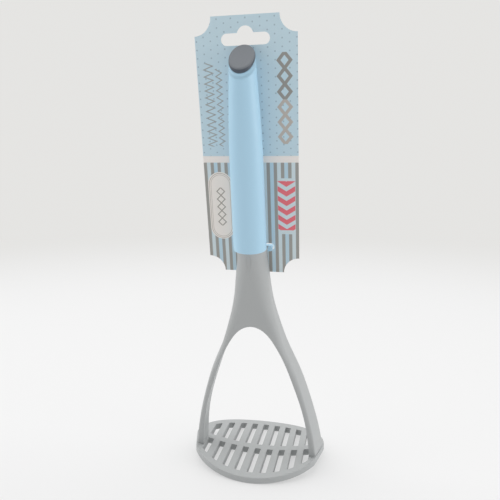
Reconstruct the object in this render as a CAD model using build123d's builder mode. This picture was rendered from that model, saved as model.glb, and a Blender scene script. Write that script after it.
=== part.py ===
"""Potato masher: nylon head, oval slotted plate, pale sleeve handle, end cap and hang card.

Frame: millimetres, +Z up, origin under the middle of the plate where it meets the table.
X runs from leg to leg, -Y is the front. The handle leans forward, towards -Y.
"""

import os
from math import cos, radians, sin

from build123d import *

os.makedirs("parts", exist_ok=True)

# Mashing plate
plate_width = 87.2
plate_depth = 72.0
plate_end_width = 86.6
plate_end_slant = 0.26
plate_corner_round = 10.0
plate_thickness = 4.0
plate_bow_radius = 150.0
plate_top_round = 0.5
plate_bottom_round = 0.8
rest_flat_depth = 0.05

# Slots: two rows cut by an oval, either side of a middle bar
slot_count = 9
slot_pitch = 8.15
slot_width = 4.0
slot_corner_round = 0.5
slot_field_width = 81.6
slot_field_depth = 60.6
middle_bar_depth = 5.1

# Lean of neck, handle and card from the vertical
lean_angle = 12.0

# Wishbone, measured along the leaning axis from the top of the plate
foot_start = -1.4
foot_front = -11.7
foot_back = 1.0
neck_front = -6.5
neck_back = 6.6
leg_top = 100.0
neck_top = 142.8
flank_slant = 0.27
back_edge_round = 1.3
front_round_start = 20.0
front_round_end = 11.5
front_flat = 0.6
side_flat = 0.1
arch_height = 95.6
arch_edge_round = 1.1

# Tang inside the handle
tang_width = 11.0
tang_depth = 6.0
tang_top = 222.0
tang_tip_round = 2.0

# Handle sleeve
sleeve_bottom = neck_top
sleeve_bottom_width = 19.1
sleeve_bottom_depth = 17.0
sleeve_top_width = 13.8
sleeve_centre_back = -0.5
sleeve_mouth_round = 0.8
sleeve_rim_round = 1.5

# Slanted top: the rim's height on the axis and its rise per millimetre towards the back
rim_height = 245.1
rim_slope = 0.88
loft_top = 258.0

# End cap
cap_thickness = 2.8
cap_inset = 0.1
cap_seat = 0.6
cap_edge_round = 1.0
cap_foot_inset = 1.0
cap_foot_rise = 1.2
cap_stem_radius = 4.2
cap_stem_length = 12.0

# Rear lip that holds the card
lip_width = 23.4
lip_height = 2.8
lip_bottom = 139.4
lip_front = 6.8
lip_back = 12.0

# Hang card
card_front = 9.0
card_board = 0.5
card_width = 54.5
card_height = 141.6
card_bottom = 125.4
card_notch_radius = 9.2
hanger_width = 25.9
hanger_height = 6.0
hanger_bottom = 252.5
hanger_bump_radius = 4.4
hanger_bump_rise = 3.4
lip_slot_width = 25.0
lip_slot_height = 4.4
lip_slot_bottom = 139.3

# The leaning frame: local X is X, local Y points back, local Z runs up the handle
lean = radians(lean_angle)
axis_up = Vector(0, -sin(lean), cos(lean))
axis_back = Vector(0, cos(lean), sin(lean))
axis_plane = Plane(origin=(0, 0, plate_thickness), x_dir=(1, 0, 0), z_dir=axis_up)
front_plane = Plane(origin=(0, 0, plate_thickness), x_dir=(1, 0, 0), z_dir=-axis_back)

# A length that reaches past the whole masher, for tools that cut right through
reach = 400.0


def plate_outline(inset):
    """The plate seen from above, set in from its sides: an oval with slanted ends under the legs."""
    front_half = plate_end_width / 2 - plate_end_slant * plate_depth - inset
    back_half = plate_end_width / 2 + plate_end_slant * plate_depth - inset
    with BuildSketch(Plane.XY) as outline:
        Ellipse(plate_width / 2 - inset, plate_depth / 2 - inset)
        Polygon(
            (-front_half, -plate_depth),
            (front_half, -plate_depth),
            (back_half, plate_depth),
            (-back_half, plate_depth),
            align=None,
            mode=Mode.INTERSECT,
        )
        fillet(outline.vertices(), plate_corner_round - inset)
    return outline.sketch


def wishbone_section(height, half_width):
    """One section across the leaning axis: the legs narrow forwards, the neck is rounder in front."""
    share = min(max(height / leg_top, 0), 1)
    front = foot_front + (neck_front - foot_front) * share
    back = foot_back + (neck_back - foot_back) * share
    front_half = half_width - flank_slant * (1 - share) * (back - front)
    rise = max((height - front_round_start) / (neck_top - front_round_start), 0)
    wanted_round = back_edge_round + (front_round_end - back_edge_round) * rise**2
    front_round = min(
        wanted_round,
        front_half - front_flat / 2,
        back - front - back_edge_round - side_flat,
    )
    with BuildSketch(axis_plane.offset(height)) as section:
        Polygon(
            (-front_half, front),
            (front_half, front),
            (half_width, back),
            (-half_width, back),
            align=None,
        )
        corners = section.vertices().sort_by(Axis.Y)
        fillet(corners[:2], front_round)
        fillet(corners[2:], back_edge_round)
    return section.sketch


def half_depth_at(height):
    """Half depth of the handle, easing from the oval bottom to the round top."""
    share = (height - sleeve_bottom) / (loft_top - sleeve_bottom)
    bottom = sleeve_bottom_depth / 2
    return bottom + (sleeve_top_width / 2 - bottom) * share


def handle_section(height, half_width, inset):
    """One oval across the leaning axis, set in from the handle's outside."""
    with BuildSketch(axis_plane.offset(height)) as section:
        with Locations((0, sleeve_centre_back)):
            Ellipse(half_width - inset, half_depth_at(height) - inset)
    return section.sketch


def slanted_plane(rise):
    """Plane of the slanted top, lifted along the axis."""
    middle = axis_plane.origin + axis_up * (rim_height + rise) + axis_back * sleeve_centre_back
    normal = (axis_up - axis_back * rim_slope).normalized()
    return Plane(origin=middle, x_dir=(1, 0, 0), z_dir=normal)


# Half widths of the wishbone's back, and of the arch between the legs, at heights on the axis
outer_half_widths = (
    (foot_start, 44.4),
    (4.0, 43.0),
    (15.0, 41.2),
    (30.0, 38.0),
    (45.0, 33.9),
    (60.0, 29.0),
    (75.0, 22.6),
    (85.0, 18.6),
    (95.0, 15.4),
    (105.0, 12.7),
    (116.0, 10.8),
    (128.0, 9.6),
    (neck_top, 9.3),
)
arch_half_widths = (
    (foot_start, 35.4),
    (4.0, 35.2),
    (15.0, 34.5),
    (30.0, 32.6),
    (45.0, 29.1),
    (60.0, 24.3),
    (72.0, 20.0),
    (79.0, 16.8),
    (84.7, 13.7),
    (90.7, 9.5),
    (94.0, 5.5),
)

# Mashing plate, bowed about the front-to-back direction
bow_centre = plate_thickness + plate_bow_radius
with BuildPart() as mashing_plate:
    with BuildSketch(Plane.XZ) as bowed_strip:
        with Locations((0, bow_centre)):
            Circle(plate_bow_radius + plate_thickness + rest_flat_depth)
            Circle(plate_bow_radius, mode=Mode.SUBTRACT)
        with Locations((0, bow_centre + reach / 2)):
            Rectangle(reach, reach, mode=Mode.SUBTRACT)
    extrude(amount=plate_depth, both=True)
    extrude(plate_outline(0), amount=plate_width, both=True, mode=Mode.INTERSECT)
    bowed_faces = mashing_plate.faces().filter_by(GeomType.CYLINDER).sort_by(SortBy.AREA)[-2:]
    fillet(bowed_faces.sort_by(Axis.Z)[-1].edges(), plate_top_round)
    lower_face = mashing_plate.faces().filter_by(GeomType.CYLINDER).sort_by(Axis.Z)[0]
    fillet(lower_face.edges(), plate_bottom_round)
    with BuildSketch(Plane.XY) as slots:
        with GridLocations(slot_pitch, 0, slot_count, 1):
            Rectangle(slot_width, plate_depth)
        Ellipse(slot_field_width / 2, slot_field_depth / 2, mode=Mode.INTERSECT)
        Rectangle(plate_width, middle_bar_depth, mode=Mode.SUBTRACT)
        fillet(slots.vertices(), slot_corner_round)
    extrude(amount=plate_width, both=True, mode=Mode.SUBTRACT)
    split(bisect_by=Plane.XY, keep=Keep.TOP)
mashing_plate.part.label = "mashing_plate"
export_step(mashing_plate.part, "parts/mashing_plate.step")

# Wishbone: legs that end on the plate just inside its rounded rim, neck, and tang
with BuildPart() as wishbone:
    loft([wishbone_section(height, half_width) for height, half_width in outer_half_widths])
    with BuildSketch(front_plane) as arch:
        right_side = [(half, height) for height, half in arch_half_widths]
        left_side = [(-half, height) for half, height in reversed(right_side)]
        with BuildLine():
            Spline(*right_side, (0, arch_height), *left_side)
            Line(left_side[-1], right_side[0])
        make_face()
    extrude(amount=plate_depth, both=True, mode=Mode.SUBTRACT)
    arch_edges = wishbone.edges(Select.LAST).filter_by(lambda edge: edge.length > arch_height)
    fillet(arch_edges, arch_edge_round)
    with BuildSketch(Plane.XY) as outside_plate:
        Rectangle(reach, reach)
        add(plate_outline(plate_top_round), mode=Mode.SUBTRACT)
    extrude(amount=reach, mode=Mode.SUBTRACT)
    with BuildSketch(Plane.XZ) as above_plate:
        with Locations((0, bow_centre)):
            Circle(plate_bow_radius)
    extrude(amount=plate_depth, both=True, mode=Mode.INTERSECT)
    with BuildSketch(axis_plane.offset(neck_top)) as tang:
        RectangleRounded(tang_width, tang_depth, tang_tip_round)
    extrude(amount=tang_top - neck_top)
wishbone.part.label = "wishbone"
export_step(wishbone.part, "parts/wishbone.step")

# Handle's form: ovals at heights on the axis, up to past the slanted top
handle_half_widths = (
    (sleeve_bottom, sleeve_bottom_width / 2),
    (168.0, 9.55),
    (185.0, 9.4),
    (200.0, 9.15),
    (219.5, 8.4),
    (238.0, 7.35),
    (loft_top, sleeve_top_width / 2),
)


with BuildPart() as handle_form:
    loft([handle_section(height, half_width, 0) for height, half_width in handle_half_widths])

# Stem below the end cap, up into the cap's body
with BuildPart() as cap_stem:
    with BuildSketch(axis_plane.offset(rim_height - cap_stem_length)) as stem:
        with Locations((0, sleeve_centre_back)):
            Circle(cap_stem_radius)
    extrude(amount=loft_top - rim_height + cap_stem_length)
    split(bisect_by=slanted_plane(0), keep=Keep.BOTTOM)

# End cap: an inset slice of the handle's form, sunk in a shallow seat
with BuildPart() as end_cap:
    loft([handle_section(height, half_width, cap_inset) for height, half_width in handle_half_widths])
    split(bisect_by=slanted_plane(-cap_seat), keep=Keep.TOP)
    split(bisect_by=slanted_plane(cap_thickness), keep=Keep.BOTTOM)
    fillet(end_cap.faces().sort_by(Axis.Z)[-1].edges(), cap_edge_round)
    cap_foot = end_cap.faces().filter_by(GeomType.PLANE).sort_by(Axis.Z)[0]
    chamfer(cap_foot.edges(), cap_foot_inset, cap_foot_rise, reference=cap_foot)
    add(cap_stem.part)
end_cap.part.label = "end_cap"
export_step(end_cap.part, "parts/end_cap.step")

with BuildPart() as handle_sleeve:
    add(handle_form.part)
    split(bisect_by=slanted_plane(0), keep=Keep.BOTTOM)
    fillet(handle_sleeve.faces().sort_by(Axis.Z)[-1].edges(), sleeve_rim_round)
    add(end_cap.part, mode=Mode.SUBTRACT)
    mouth = handle_sleeve.faces().filter_by(GeomType.PLANE).sort_by(Axis.Z)[0]
    fillet(mouth.edges(), sleeve_mouth_round)
    with BuildSketch(axis_plane.offset(lip_bottom)) as tongue:
        with Locations((0, sleeve_centre_back)):
            Ellipse(sleeve_bottom_width / 2, sleeve_bottom_depth / 2)
        with Locations((0, lip_front - reach / 2)):
            Rectangle(reach, reach, mode=Mode.SUBTRACT)
    extrude(amount=sleeve_bottom - lip_bottom + 2 * sleeve_mouth_round)
    with BuildSketch(front_plane.offset(-lip_back)) as lip:
        with Locations((0, lip_bottom + lip_height / 2)):
            SlotOverall(lip_width, lip_height)
    extrude(amount=lip_back - lip_front)
    with BuildSketch(axis_plane.offset(neck_top)) as tang_socket:
        RectangleRounded(tang_width, tang_depth, tang_tip_round)
    extrude(amount=tang_top - neck_top, mode=Mode.SUBTRACT)
handle_sleeve.part.label = "handle_sleeve"
export_step(handle_sleeve.part, "parts/handle_sleeve.step")

# Hang card, a notched board behind the handle
card_plane = Plane(
    origin=axis_plane.origin + axis_back * card_front,
    x_dir=(1, 0, 0),
    z_dir=-axis_back,
)
with BuildPart() as hang_card:
    with BuildSketch(card_plane) as board:
        with Locations((0, card_bottom + card_height / 2)):
            Rectangle(card_width, card_height)
            with GridLocations(card_width, card_height, 2, 2):
                Circle(card_notch_radius, mode=Mode.SUBTRACT)
        with Locations((0, hanger_bottom + hanger_height / 2)):
            SlotOverall(hanger_width, hanger_height, mode=Mode.SUBTRACT)
        with Locations((0, hanger_bottom + hanger_height + hanger_bump_rise - hanger_bump_radius)):
            Circle(hanger_bump_radius, mode=Mode.SUBTRACT)
        with Locations((0, lip_slot_bottom + lip_slot_height / 2)):
            SlotOverall(lip_slot_width, lip_slot_height, mode=Mode.SUBTRACT)
    extrude(amount=-card_board)
hang_card.part.label = "hang_card"
export_step(hang_card.part, "parts/hang_card.step")
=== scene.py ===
"""Looks of the potato masher: grey nylon head, pale blue handle, dark cap, printed hang card.

Metres, in the frame of the CAD model. The card's print is drawn in card coordinates:
u runs across the card from its middle line and v runs up the handle's axis from the plate's top.
"""

import math

import bpy
import bmesh
from mathutils import Matrix, Vector

MM = 0.001

# Camera, fitted to the photograph
CAMERA_PLACE = Vector((60.33, -311.94, 188.32)) * MM
CAMERA_YAW = math.radians(12.11)
CAMERA_PITCH = math.radians(8.87)
CAMERA_ROLL = math.radians(-0.21)
CAMERA_LENS = 36.35
SENSOR_WIDTH = 36.0

# The leaning axis of handle and card
LEAN = math.radians(12.0)
PLATE_TOP = 4.0 * MM
AXIS_UP = Vector((0, -math.sin(LEAN), math.cos(LEAN)))
AXIS_BACK = Vector((0, math.cos(LEAN), math.sin(LEAN)))
CARD_FRONT = 9.0 * MM
CARD_BACK = 9.5 * MM
FACE_MARGIN = 0.03

# The cap's slanted face: a point on it, its rise per millimetre towards the back, and its wall, which is
# smoother and carries painted shade
CAP_FACE_UP = 247.9
CAP_FACE_BACK = -0.5
CAP_SLOPE = 0.88
CAP_WALL_FROM = 0.25 * MM
CAP_WALL_FULL = 0.75 * MM
CAP_FACE_ROUGHNESS = 0.5
CAP_WALL_ROUGHNESS = 0.32

# The sleeve's rim: its height on the axis, and the rolled edge's start, end and height
RIM_UP = 245.1
RIM_ROLL_FROM = 0.3 * MM
RIM_ROLL_FULL = 2.1 * MM
RIM_ROLL_HEIGHT = 0.9 * MM

# Mottling, roughness patches and mould grain, in cells per metre
MOTTLE_SCALE = 38.0
PATCH_SCALE = 260.0
PATCH_SPREAD = 0.04
GRAIN_SCALE = 5200.0

# Colours, linear
NYLON_COLOUR = (0.44, 0.454, 0.455)
HANDLE_COLOUR = (0.46, 0.712, 0.89)
CAP_COLOUR = (0.190, 0.206, 0.228)
# Painted shade: darker colour for the cap's wall below its slanted face
CAP_WALL_PAINTED_SHADE = (0.065, 0.082, 0.108)
CARD_BLUE = (0.60, 0.765, 0.85)
DOT_BLUE = (0.33, 0.45, 0.53)
ORNAMENT_GREY = (0.33, 0.32, 0.30)
ORNAMENT_TAN = (0.55, 0.50, 0.455)
STRIPE_GREY = (0.375, 0.365, 0.34)
STRIPE_BLUE = (0.55, 0.73, 0.83)
STRIPE_PALE = (0.69, 0.795, 0.83)
BAND_BEIGE = (0.97, 0.90, 0.85)
LABEL_BEIGE = (0.95, 0.88, 0.82)
LABEL_LINE = (0.42, 0.37, 0.32)
CORAL = (0.88, 0.175, 0.21)
PAPER_WHITE = (0.80, 0.79, 0.76)
BOARD_GREY = (0.60, 0.585, 0.55)
FLOOR_COLOUR = (0.82, 0.82, 0.82)
FLOOR_GLOW = (0.93, 0.93, 0.93)
# Painted shade: the floor's glow near the camera is dimmed to stand in for light falling off
FLOOR_GLOW_NEAR_PAINTED_SHADE = (0.85, 0.85, 0.85)
WALL_COLOUR = (0.785, 0.780, 0.765)


class Nodes:
    """Short calls that add nodes to a material's tree and return sockets."""

    def __init__(self, material):
        self.tree = material.node_tree
        self.shader = self.tree.nodes["Principled BSDF"]

    def add(self, kind, **settings):
        node = self.tree.nodes.new(kind)
        for name, value in settings.items():
            setattr(node, name, value)
        return node

    def put(self, socket, value):
        """Links a socket, or sets a plain value."""
        if isinstance(value, bpy.types.NodeSocket):
            self.tree.links.new(value, socket)
        elif socket.type == "RGBA" and len(value) == 3:
            socket.default_value = (*value, 1.0)
        else:
            socket.default_value = value

    def math(self, operation, *values):
        node = self.add("ShaderNodeMath", operation=operation)
        for socket, value in zip(node.inputs, values):
            self.put(socket, value)
        return node.outputs[0]

    def mix(self, share, first, second):
        """Colour going from first to second as share goes from 0 to 1."""
        node = self.add("ShaderNodeMix", data_type="RGBA")
        self.put(node.inputs["Factor"], share)
        self.put(node.inputs["A"], first)
        self.put(node.inputs["B"], second)
        return node.outputs["Result"]

    def noise(self, scale, detail=2.0, stretch=(1, 1, 1)):
        """Noise in object space, with scale in cells per metre."""
        place = self.add("ShaderNodeTexCoord").outputs["Object"]
        mapping = self.add("ShaderNodeMapping")
        mapping.inputs["Scale"].default_value = stretch
        self.put(mapping.inputs["Vector"], place)
        node = self.add("ShaderNodeTexNoise")
        self.put(node.inputs["Vector"], mapping.outputs["Vector"])
        node.inputs["Scale"].default_value = scale
        node.inputs["Detail"].default_value = detail
        return node.outputs["Fac"]

    def ramp(self, value, low, high, to_low=0.0, to_high=1.0, smooth=False):
        node = self.add("ShaderNodeMapRange")
        node.interpolation_type = "SMOOTHSTEP" if smooth else "LINEAR"
        for name, number in (
            ("Value", value),
            ("From Min", low),
            ("From Max", high),
            ("To Min", to_low),
            ("To Max", to_high),
        ):
            self.put(node.inputs[name], number)
        return node.outputs["Result"]

    def bump(self, height, distance, strength=1.0):
        node = self.add("ShaderNodeBump")
        node.inputs["Strength"].default_value = strength
        node.inputs["Distance"].default_value = distance
        self.put(node.inputs["Height"], height)
        self.put(self.shader.inputs["Normal"], node.outputs["Normal"])


def new_material(name, roughness, specular=0.5):
    material = bpy.data.materials.new(name)
    material.use_nodes = True
    nodes = Nodes(material)
    nodes.shader.inputs["Roughness"].default_value = roughness
    nodes.shader.inputs["Specular IOR Level"].default_value = specular
    return material, nodes


def moulded_plastic(name, colour, roughness, mottle, grain_depth, specular=0.5):
    """Moulded plastic: faint broad mottling and a fine satin grain from the mould."""
    material, nodes = new_material(name, roughness, specular)
    broad = nodes.noise(MOTTLE_SCALE, 3.0)
    darker = tuple(channel * (1 - mottle) for channel in colour)
    lighter = tuple(min(channel * (1 + mottle), 1.0) for channel in colour)
    nodes.put(nodes.shader.inputs["Base Color"], nodes.mix(broad, darker, lighter))
    smoother, rougher = roughness - PATCH_SPREAD, roughness + PATCH_SPREAD
    patchy = nodes.ramp(nodes.noise(PATCH_SCALE, 2.0), 0.3, 0.7, smoother, rougher)
    nodes.put(nodes.shader.inputs["Roughness"], patchy)
    nodes.bump(nodes.noise(GRAIN_SCALE, 2.0), grain_depth)
    return material


def below_slanted_top(nodes, height):
    """Distance below a plane parallel to the cap's face, from its height on the axis."""
    normal = (AXIS_UP - AXIS_BACK * CAP_SLOPE).normalized()
    middle = Vector((0, 0, PLATE_TOP)) + (AXIS_UP * height + AXIS_BACK * CAP_FACE_BACK) * MM
    place = nodes.add("ShaderNodeTexCoord").outputs["Object"]
    along = nodes.add("ShaderNodeVectorMath", operation="DOT_PRODUCT")
    nodes.put(along.inputs[0], place)
    nodes.put(along.inputs[1], normal)
    return nodes.math("SUBTRACT", normal.dot(middle), along.outputs["Value"])


def cap_material():
    """Textured slanted face and a smoother wall below it, whose darker colour is painted shade."""
    material = moulded_plastic(
        "dark_cap_plastic",
        CAP_COLOUR,
        roughness=CAP_FACE_ROUGHNESS,
        mottle=0.03,
        grain_depth=0.014 * MM,
    )
    nodes = Nodes(material)
    below = below_slanted_top(nodes, CAP_FACE_UP)
    # This wall mask darkens the colour as painted shade and makes the wall smoother
    wall = nodes.ramp(below, CAP_WALL_FROM, CAP_WALL_FULL, smooth=True)
    face_colour = nodes.shader.inputs["Base Color"].links[0].from_socket
    nodes.put(nodes.shader.inputs["Base Color"], nodes.mix(wall, face_colour, CAP_WALL_PAINTED_SHADE))
    roughness = nodes.ramp(wall, 0.0, 1.0, CAP_FACE_ROUGHNESS, CAP_WALL_ROUGHNESS)
    nodes.put(nodes.shader.inputs["Roughness"], roughness)
    return material


def sleeve_material():
    """Pale plastic with a rolled-over rim below the cap, which catches the light."""
    material = moulded_plastic(
        "pale_blue_plastic",
        HANDLE_COLOUR,
        roughness=0.36,
        mottle=0.008,
        grain_depth=0.004 * MM,
    )
    nodes = Nodes(material)
    below = below_slanted_top(nodes, RIM_UP)
    roll = nodes.ramp(below, RIM_ROLL_FROM, RIM_ROLL_FULL, smooth=True)
    grain = nodes.shader.inputs["Normal"].links[0].from_node
    bump = nodes.add("ShaderNodeBump")
    bump.inputs["Strength"].default_value = 1.0
    bump.inputs["Distance"].default_value = RIM_ROLL_HEIGHT
    nodes.put(bump.inputs["Height"], roll)
    nodes.put(bump.inputs["Normal"], grain.outputs["Normal"])
    nodes.put(nodes.shader.inputs["Normal"], bump.outputs["Normal"])
    return material


def assign(node_name, material):
    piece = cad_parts[node_name]
    for material_slot in piece.material_slots:
        material_slot.material = material


# Camera
def make_camera():
    right = Vector((math.cos(CAMERA_YAW), math.sin(CAMERA_YAW), 0))
    level = Vector((-math.sin(CAMERA_YAW), math.cos(CAMERA_YAW), 0))
    down = Vector((0, 0, -1))
    ahead = level * math.cos(CAMERA_PITCH) + down * math.sin(CAMERA_PITCH)
    under = down * math.cos(CAMERA_PITCH) - level * math.sin(CAMERA_PITCH)
    across = right * math.cos(CAMERA_ROLL) + under * math.sin(CAMERA_ROLL)
    below = under * math.cos(CAMERA_ROLL) - right * math.sin(CAMERA_ROLL)
    camera = bpy.data.objects.new("camera", bpy.data.cameras.new("camera"))
    camera.data.lens = CAMERA_LENS
    camera.data.sensor_width = SENSOR_WIDTH
    camera.data.clip_start = 0.01
    turn = Matrix((across, -below, -ahead)).transposed().to_4x4()
    camera.matrix_world = Matrix.Translation(CAMERA_PLACE) @ turn
    bpy.context.collection.objects.link(camera)
    bpy.context.scene.camera = camera


# Each lamp: name, place, target, size in metres and power in watts
LAMPS = (
    ("overhead", (0.0, -0.05, 1.2), (0, 0, 0.1), 1.0, 2.8),
    ("window", (1.0, -0.25, 0.2), (0, 0, 0.03), 0.6, 1.6),
    ("left", (-0.95, -0.25, 0.7), (0, 0, 0.12), 1.1, 1.6),
)


def make_lamp(name, place, target, size, power):
    lamp = bpy.data.lights.new(name, "AREA")
    lamp.shape = "DISK"
    lamp.size = size
    lamp.energy = power
    piece = bpy.data.objects.new(name, lamp)
    piece.location = place
    piece.rotation_euler = (Vector(target) - Vector(place)).to_track_quat("-Z", "Y").to_euler()
    bpy.context.collection.objects.link(piece)


# The surroundings' light: along an axis, its level goes from low to high between two directions
WORLD_LEVELS = (
    ("Y", -0.95, 0.1, 0.08, 0.88),
    ("X", 0.1, 1.0, 0.0, 0.40),
    ("X", -0.1, -1.0, 0.0, 0.62),
)


def make_world():
    """Even pale surroundings, dimmer on the camera's side, as in a white corner."""
    world = bpy.data.worlds.new("surroundings")
    world.use_nodes = True
    bpy.context.scene.world = world
    tree = world.node_tree
    background = tree.nodes["Background"]
    seen = tree.nodes.new("ShaderNodeBackground")
    seen.inputs["Color"].default_value = (*WALL_COLOUR, 1)
    direction = tree.nodes.new("ShaderNodeTexCoord")
    parts = tree.nodes.new("ShaderNodeSeparateXYZ")
    tree.links.new(direction.outputs["Generated"], parts.inputs[0])
    total = None
    for axis, far_from, far_to, low, high in WORLD_LEVELS:
        level = tree.nodes.new("ShaderNodeMapRange")
        level.inputs["From Min"].default_value = far_from
        level.inputs["From Max"].default_value = far_to
        level.inputs["To Min"].default_value = low
        level.inputs["To Max"].default_value = high
        tree.links.new(parts.outputs[axis], level.inputs["Value"])
        if total is None:
            total = level.outputs["Result"]
            continue
        plus = tree.nodes.new("ShaderNodeMath")
        tree.links.new(total, plus.inputs[0])
        tree.links.new(level.outputs["Result"], plus.inputs[1])
        total = plus.outputs[0]
    tree.links.new(total, background.inputs["Strength"])
    background.inputs["Color"].default_value = (1, 1, 1, 1)
    path = tree.nodes.new("ShaderNodeLightPath")
    choose = tree.nodes.new("ShaderNodeMixShader")
    seen_directly = path.outputs["Is Camera Ray"]
    for kind in ("Is Glossy Ray", "Is Transmission Ray"):
        either = tree.nodes.new("ShaderNodeMath")
        either.operation = "MAXIMUM"
        tree.links.new(seen_directly, either.inputs[0])
        tree.links.new(path.outputs[kind], either.inputs[1])
        seen_directly = either.outputs[0]
    tree.links.new(seen_directly, choose.inputs["Fac"])
    tree.links.new(background.outputs[0], choose.inputs[1])
    tree.links.new(seen.outputs[0], choose.inputs[2])
    tree.links.new(choose.outputs[0], tree.nodes["World Output"].inputs["Surface"])


# Floor: its disc, the distances over which it fades into the wall's tone, and its own glow, dimmed towards
# the camera as painted shade
FLOOR_RADIUS = 6.0
FLOOR_SEGMENTS = 96
FADE_FROM = 0.42
FADE_FULL = 1.25
GLOW_SHARE = 0.48
GLOW_NEAR_FULL = -0.1


def make_floor():
    """Pale table top that fades into the wall's tone with distance, its glow dimmed towards the camera as
    painted shade.
    """
    sheet = bmesh.new()
    bmesh.ops.create_circle(sheet, cap_ends=True, radius=FLOOR_RADIUS, segments=FLOOR_SEGMENTS)
    mesh = bpy.data.meshes.new("floor")
    sheet.to_mesh(mesh)
    sheet.free()
    floor = bpy.data.objects.new("floor", mesh)
    bpy.context.collection.objects.link(floor)
    material, nodes = new_material("table_top", roughness=0.9, specular=0.1)
    nodes.put(nodes.shader.inputs["Base Color"], FLOOR_COLOUR)
    place = nodes.add("ShaderNodeTexCoord").outputs["Object"]
    parts = nodes.add("ShaderNodeSeparateXYZ")
    nodes.put(parts.inputs[0], place)
    x, y = parts.outputs["X"], parts.outputs["Y"]
    square = nodes.math("ADD", nodes.math("MULTIPLY", x, x), nodes.math("MULTIPLY", y, y))
    far = nodes.ramp(nodes.math("SQRT", square), FADE_FROM, FADE_FULL, smooth=True)
    # Painted shade: the floor's glow dims towards the camera
    painted_shade_towards_front = nodes.ramp(y, 0.0, GLOW_NEAR_FULL)
    table_glow = nodes.mix(painted_shade_towards_front, FLOOR_GLOW, FLOOR_GLOW_NEAR_PAINTED_SHADE)
    surface = nodes.shader.outputs[0]
    for share, colour in ((GLOW_SHARE, table_glow), (far, WALL_COLOUR)):
        glow = nodes.add("ShaderNodeEmission")
        nodes.put(glow.inputs["Color"], colour)
        choose = nodes.add("ShaderNodeMixShader")
        nodes.put(choose.inputs["Fac"], share)
        nodes.put(choose.inputs[1], surface)
        nodes.put(choose.inputs[2], glow.outputs[0])
        surface = choose.outputs[0]
    output = nodes.tree.nodes["Material Output"]
    nodes.put(output.inputs["Surface"], surface)
    mesh.materials.append(material)


class CardPrint(Nodes):
    """Masks for the card's print, each 1 inside and 0 outside, in millimetres on the card."""

    EDGE = 0.12
    CHEVRON_SLOPE = 0.62

    def __init__(self, material):
        super().__init__(material)
        place = self.add("ShaderNodeTexCoord").outputs["Object"]
        parts = self.add("ShaderNodeSeparateXYZ")
        self.put(parts.inputs[0], place)
        x, y, z = parts.outputs
        height = self.math("SUBTRACT", z, PLATE_TOP)
        up_y = self.math("MULTIPLY", y, -math.sin(LEAN) / MM)
        up_z = self.math("MULTIPLY", height, math.cos(LEAN) / MM)
        back_y = self.math("MULTIPLY", y, math.cos(LEAN) / MM)
        back_z = self.math("MULTIPLY", height, math.sin(LEAN) / MM)
        self.u = self.math("MULTIPLY", x, 1 / MM)
        self.v = self.math("ADD", up_y, up_z)
        self.depth = self.math("ADD", back_y, back_z)

    def inside(self, distance):
        """1 where a signed distance is negative, with a thin soft edge."""
        return self.ramp(distance, self.EDGE / 2, -self.EDGE / 2)

    def both(self, *masks):
        result = masks[0]
        for mask in masks[1:]:
            result = self.math("MULTIPLY", result, mask)
        return result

    def span(self, value, low, high):
        """1 where value is between low and high."""
        middle, half = (low + high) / 2, (high - low) / 2
        off = self.math("ABSOLUTE", self.math("SUBTRACT", value, middle))
        return self.inside(self.math("SUBTRACT", off, half))

    def box(self, u_low, u_high, v_low, v_high):
        return self.both(self.span(self.u, u_low, u_high), self.span(self.v, v_low, v_high))

    def wave(self, value, period, phase=0.0):
        """Distance to the nearest multiple of the period, from 0 to half a period."""
        turns = self.math("DIVIDE", self.math("SUBTRACT", value, phase), period)
        off = self.math("SUBTRACT", self.math("FRACT", self.math("ADD", turns, 0.5)), 0.5)
        return self.math("MULTIPLY", self.math("ABSOLUTE", off), period)

    def bars(self, value, period, width, phase=0.0):
        """Repeating bars of a width, centred on phase and every period from it."""
        return self.inside(self.math("SUBTRACT", self.wave(value, period, phase), width / 2))

    def stadium(self, u_middle, v_low, v_high, half_width):
        """Signed distance to a long rounded label."""
        straight = (v_high - v_low) / 2 - half_width
        across = self.math("SUBTRACT", self.u, u_middle)
        along = self.math("ABSOLUTE", self.math("SUBTRACT", self.v, (v_low + v_high) / 2))
        past = self.math("MAXIMUM", self.math("SUBTRACT", along, straight), 0.0)
        square = self.math("ADD", self.math("MULTIPLY", across, across), self.math("MULTIPLY", past, past))
        return self.math("SUBTRACT", self.math("SQRT", square), half_width)

    def zigzag(self, u_middle, reach, period, thickness, v_low, v_high):
        """A zigzag line going up the card."""
        swing = self.math("MULTIPLY", self.wave(self.v, period), 4 * reach / period)
        line = self.math("ADD", swing, u_middle - reach)
        off = self.math("ABSOLUTE", self.math("SUBTRACT", self.u, line))
        slant = math.hypot(1, 4 * reach / period)
        inked = self.inside(self.math("SUBTRACT", off, thickness * slant / 2))
        return self.both(inked, self.span(self.v, v_low, v_high))

    def chain(self, u_middle, half_width, period, thickness, v_low, v_high):
        """A chain of diamonds drawn in outline."""
        aside = self.math("ABSOLUTE", self.math("SUBTRACT", self.u, u_middle))
        across = self.math("DIVIDE", aside, half_width)
        along = self.math("DIVIDE", self.wave(self.v, period, v_low + period / 2), period / 2)
        off = self.math("ABSOLUTE", self.math("SUBTRACT", self.math("ADD", across, along), 1.0))
        slant = math.hypot(1 / half_width, 2 / period)
        inked = self.inside(self.math("SUBTRACT", self.math("DIVIDE", off, slant), thickness / 2))
        return self.both(inked, self.span(self.v, v_low, v_high))

    def chevrons(self, u_middle, half_width, period, thickness, v_low, v_high):
        """A stack of V shapes."""
        across = self.math("ABSOLUTE", self.math("SUBTRACT", self.u, u_middle))
        bent = self.math("SUBTRACT", self.v, self.math("MULTIPLY", across, self.CHEVRON_SLOPE))
        inked = self.bars(bent, period, thickness)
        within = self.box(u_middle - half_width, u_middle + half_width, v_low, v_high)
        return self.both(inked, within)


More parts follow.
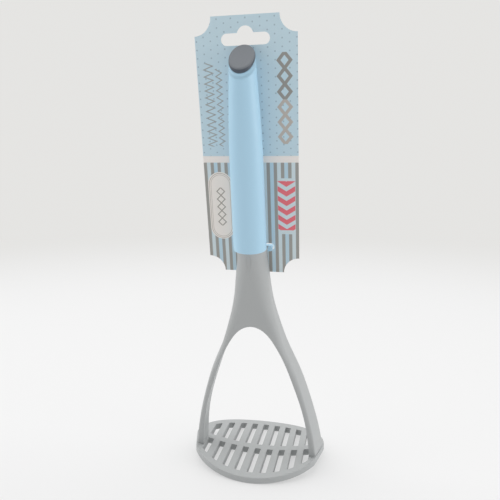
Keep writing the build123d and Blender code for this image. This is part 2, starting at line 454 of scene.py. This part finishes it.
# The card's print, in millimetres
BAND_LOW = 191.4
BAND_HIGH = 195.1
STRIPE_PERIOD = 4.05
STRIPE_WIDTH = 1.9
DOT_ACROSS = 3.8
DOT_UP = 4.15
DOT_RADIUS = 0.42
DOT_SHIFT = 0.05
DOT_STRENGTH = 0.75
LINE_STRENGTH = 0.8

# Each zigzag: middle, reach, period, thickness, lower and upper end
ZIGZAGS = (
    (-21.0, 2.4, 3.6, 0.55, 200.5, 244.5),
    (-15.4, 1.6, 3.6, 0.5, 200.5, 241.5),
)

# Chains: middle, half width, period, thickness, lower and upper end
UPPER_CHAIN = (20.2, 3.2, 7.8, 1.7, 225.0, 248.4)
LOWER_CHAIN = (20.2, 3.2, 7.8, 1.7, 201.6, 225.0)
LABEL_CHAIN = (-18.2, 2.3, 4.6, 0.62, 153.9, 176.9)

# Panel: left, right, lower and upper side. Chevrons: as the chains
PANEL = (15.1, 25.4, 149.6, 182.6)
CHEVRONS = (20.2, 5.0, 5.6, 3.0, 152.0, 181.0)

# Card's finish: print, bare board and paper grain
INK_MOTTLE_SCALE = 90.0
PRINT_ROUGHNESS = 0.42
BOARD_ROUGHNESS = 0.85
FIBRE_SCALE = 900.0
FIBRE_STRETCH = (1, 1, 0.4)
PAPER_GRAIN_SCALE = 2600.0
PAPER_GRAIN_DEPTH = 0.02 * MM
PAPER_GRAIN_STRENGTH = 0.6

# Label: middle, lower and upper end, half width. Its lines: inset and width
LABEL = (-18.2, 145.6, 186.0, 7.3)
LABEL_LINES = ((0.8, 0.34), (1.7, 0.26))


def print_card(card):
    """Colour of the printed face."""
    darker, lighter = (tuple(share * channel for channel in CARD_BLUE) for share in (0.97, 1.03))
    colour = card.mix(card.noise(INK_MOTTLE_SCALE, 3.0), darker, lighter)

    # Staggered dots: two grids, the second shifted by half a step each way
    for shift in (0.0, 0.5):
        across = card.wave(card.u, 2 * DOT_ACROSS, (2 * shift + DOT_SHIFT) * DOT_ACROSS)
        along = card.wave(card.v, DOT_UP, shift * DOT_UP)
        square = card.math("ADD", card.math("MULTIPLY", across, across), card.math("MULTIPLY", along, along))
        dot = card.inside(card.math("SUBTRACT", card.math("SQRT", square), DOT_RADIUS))
        colour = card.mix(card.math("MULTIPLY", dot, DOT_STRENGTH), colour, DOT_BLUE)

    # Zigzag lines on the left, diamond chains on the right
    for zigzag in ZIGZAGS:
        mask = card.math("MULTIPLY", card.zigzag(*zigzag), LINE_STRENGTH)
        colour = card.mix(mask, colour, ORNAMENT_GREY)
    colour = card.mix(card.chain(*UPPER_CHAIN), colour, ORNAMENT_GREY)
    colour = card.mix(card.chain(*LOWER_CHAIN), colour, ORNAMENT_TAN)

    # Grey stripes below the band, with pale and blue gaps in turn
    below = card.inside(card.math("SUBTRACT", card.v, BAND_LOW))
    stripes = card.bars(card.u, STRIPE_PERIOD, STRIPE_WIDTH, STRIPE_PERIOD / 2)
    panel = card.box(*PANEL)
    stripes = card.math("MULTIPLY", stripes, card.math("SUBTRACT", 1.0, panel))
    pale = card.math("MAXIMUM", panel, card.bars(card.u, 2 * STRIPE_PERIOD, STRIPE_PERIOD))
    lined = card.mix(stripes, card.mix(pale, STRIPE_BLUE, STRIPE_PALE), STRIPE_GREY)
    colour = card.mix(below, colour, lined)
    colour = card.mix(card.span(card.v, BAND_LOW, BAND_HIGH), colour, BAND_BEIGE)

    # Coral chevrons on the bare panel
    colour = card.mix(card.chevrons(*CHEVRONS), colour, CORAL)

    # Plain label with two thin lines and a chain of diamonds
    label = card.stadium(*LABEL)
    colour = card.mix(card.inside(label), colour, LABEL_BEIGE)
    for inset, width in LABEL_LINES:
        off = card.math("ABSOLUTE", card.math("ADD", label, inset))
        line = card.inside(card.math("SUBTRACT", off, width / 2))
        colour = card.mix(card.math("MULTIPLY", line, LINE_STRENGTH), colour, LABEL_LINE)
    colour = card.mix(card.chain(*LABEL_CHAIN), colour, LABEL_LINE)
    return colour


def card_material():
    """Glossy printed front, white cut edges and a plain board back."""
    material = bpy.data.materials.new("printed_card")
    material.use_nodes = True
    card = CardPrint(material)
    face = print_card(card)
    fibres = card.noise(FIBRE_SCALE, 4.0, FIBRE_STRETCH)
    bare = card.mix(fibres, tuple(0.94 * c for c in BOARD_GREY), BOARD_GREY)
    on_front = card.math("LESS_THAN", card.depth, CARD_FRONT / MM + FACE_MARGIN)
    on_back = card.math("GREATER_THAN", card.depth, CARD_BACK / MM - FACE_MARGIN)
    colour = card.mix(on_front, PAPER_WHITE, face)
    colour = card.mix(on_back, colour, bare)
    card.put(card.shader.inputs["Base Color"], colour)
    roughness = card.ramp(on_front, 0.0, 1.0, BOARD_ROUGHNESS, PRINT_ROUGHNESS)
    card.put(card.shader.inputs["Roughness"], roughness)
    card.bump(card.noise(PAPER_GRAIN_SCALE, 3.0), PAPER_GRAIN_DEPTH, PAPER_GRAIN_STRENGTH)
    return material


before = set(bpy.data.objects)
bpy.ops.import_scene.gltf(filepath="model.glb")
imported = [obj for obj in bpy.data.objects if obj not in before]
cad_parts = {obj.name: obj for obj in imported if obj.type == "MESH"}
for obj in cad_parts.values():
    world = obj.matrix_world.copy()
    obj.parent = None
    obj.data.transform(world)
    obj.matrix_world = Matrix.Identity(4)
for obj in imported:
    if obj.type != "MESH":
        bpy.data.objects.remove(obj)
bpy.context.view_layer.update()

make_camera()
make_world()
make_floor()
for lamp_settings in LAMPS:
    make_lamp(*lamp_settings)

nylon = moulded_plastic(
    "grey_nylon",
    NYLON_COLOUR,
    roughness=0.46,
    mottle=0.02,
    grain_depth=0.012 * MM,
)
assign("mashing_plate", nylon)
assign("wishbone", nylon)
assign("handle_sleeve", sleeve_material())
assign("end_cap", cap_material())
assign("hang_card", card_material())

bpy.context.scene.view_settings.view_transform = "Standard"
